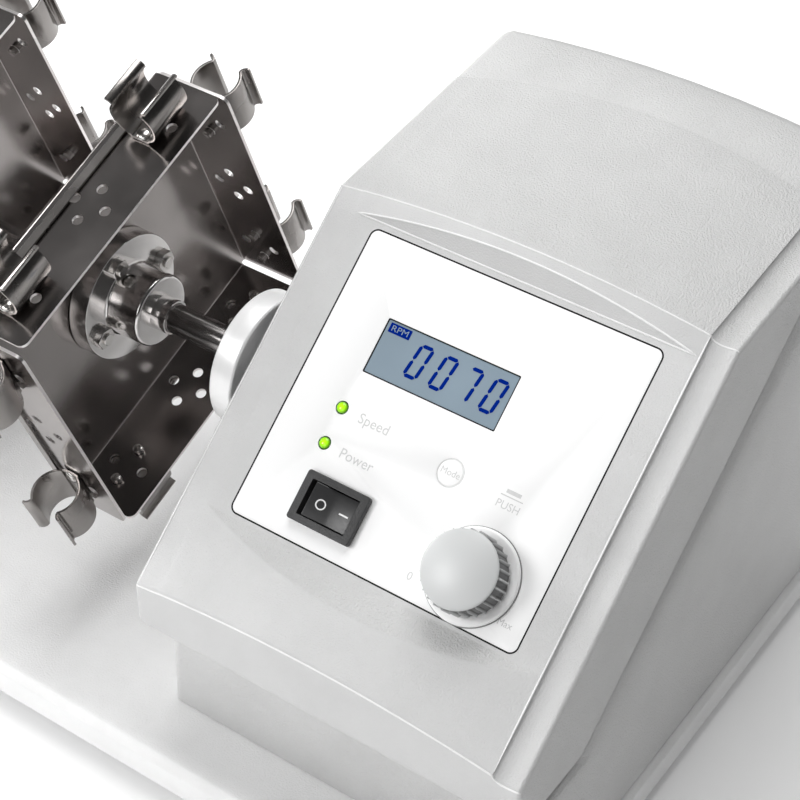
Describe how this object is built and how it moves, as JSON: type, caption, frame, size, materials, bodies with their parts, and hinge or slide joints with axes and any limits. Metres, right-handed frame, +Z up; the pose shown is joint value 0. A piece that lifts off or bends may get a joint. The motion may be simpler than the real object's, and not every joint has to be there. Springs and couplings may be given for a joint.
{
  "type": "tube rotator",
  "caption": "Bench rotator with a sloped control panel, a low platform, a left post and a driven shaft of square steel trays with spring tube clips.",
  "frame": {"origin": "centre of the footprint, on the table under the feet", "axes": "+X along the rotor towards the drive head, -Y towards the operator, +Z up"},
  "size_m": [0.434, 0.2059, 0.1898],
  "materials": {
    "housing_plastic": "light grey moulded ABS with a fine grain",
    "white_panel": "smooth white",
    "knob_plastic": "satin light grey",
    "black_plastic": "fine grain black",
    "display_glass": "grey-blue reflective display behind a clear window",
    "lamp_lens": "clear green lens",
    "circuit_board": "green solder mask",
    "rubber": "black rubber",
    "stainless_steel": "polished stainless sheet and bar",
    "zinc_steel": "plain zinc-plated steel",
    "turned_aluminium": "lathe-turned, satin"
  },
  "bodies": {
    "housing": {"base_platform": "housing_plastic", "bearing_housing": "turned_aluminium", "bottom_plate": "zinc_steel", "chassis_plate": "zinc_steel", "control_panel": "white_panel", "drive_belt": "rubber", "drive_motor": "zinc_steel", "encoder": "black_plastic", "foot_1": "rubber", "foot_2": "rubber", "foot_3": "rubber", "foot_4": "rubber", "front_cover": "housing_plastic", "gearbox": "zinc_steel", "knob_ring": "white_panel", "lcd_module": "black_plastic", "lcd_window": "display_glass", "led_power": "lamp_lens", "led_speed": "lamp_lens", "main_board": "circuit_board", "mains_inlet": "black_plastic", "mode_switch": "black_plastic", "post_bearing": "zinc_steel", "post_cover": "housing_plastic", "power_supply": "zinc_steel", "rear_cover": "housing_plastic", "rocker_bezel": "black_plastic", "spindle_bearing_1": "zinc_steel", "spindle_bearing_2": "zinc_steel", "support_post": "housing_plastic"},
    "rotor": {"spindle": "stainless_steel", "spindle_pulley": "turned_aluminium", "drive_collar": "turned_aluminium", "rotor_shaft": "stainless_steel", "tray_1": "stainless_steel", "tray_2": "stainless_steel", "tray_3": "stainless_steel", "hub_1": "stainless_steel", "hub_2": "stainless_steel", "hub_3": "stainless_steel", "clips_1_top": "stainless_steel", "clips_1_front": "stainless_steel", "clips_1_bottom": "stainless_steel", "clips_1_back": "stainless_steel", "clips_2_top": "stainless_steel", "clips_2_front": "stainless_steel", "clips_2_bottom": "stainless_steel", "clips_2_back": "stainless_steel", "clips_3_top": "stainless_steel", "clips_3_front": "stainless_steel", "clips_3_bottom": "stainless_steel", "clips_3_back": "stainless_steel"},
    "motor_rotor": {"motor_shaft": "zinc_steel", "motor_pulley": "turned_aluminium"},
    "knob_plunger": {"encoder_plunger": "zinc_steel"},
    "knob_body": {"encoder_shaft": "turned_aluminium", "knob": "knob_plastic"},
    "rocker": {"rocker_key": "black_plastic"},
    "mode": {"mode_button": "white_panel"},
    "fuse_drawer": {"fuse_drawer": "black_plastic"}
  },
  "joints": [
    {"name": "rotor_spin", "type": "hinge", "parent": "housing", "child": "rotor", "pos_m": [0, -0.0234, 0.113], "axis": [1, 0, 0], "continuous": true},
    {"name": "motor_spin", "type": "hinge", "parent": "housing", "child": "motor_rotor", "pos_m": [0, 0.0361, 0.08], "axis": [1, 0, 0], "continuous": true},
    {"name": "knob_push", "type": "slide", "parent": "housing", "child": "knob_plunger", "axis": [0, 0.6157, -0.788], "range_m": [0, 0.0004], "stiffness_N_per_m": 1500},
    {"name": "knob_turn", "type": "hinge", "parent": "knob_plunger", "child": "knob_body", "pos_m": [0.175, -0.05818, 0.10837], "axis": [0, -0.6157, 0.788], "range_deg": [0, 270]},
    {"name": "rocker_tilt", "type": "hinge", "parent": "housing", "child": "rocker", "pos_m": [0.12816, -0.05686, 0.1056], "axis": [0, 0.788, 0.6157], "range_deg": [-18, 0]},
    {"name": "mode_press", "type": "slide", "parent": "housing", "child": "mode", "axis": [0, 0.6157, -0.788], "range_m": [0, 0.0005], "stiffness_N_per_m": 1200},
    {"name": "fuse_drawer_slide", "type": "slide", "parent": "housing", "child": "fuse_drawer", "axis": [0, 1, 0], "range_m": [0, 0.018]}
  ],
  "couplings": [
    {"joint": "motor_spin", "follows": "rotor_spin", "ratio": 1.5}
  ]
}
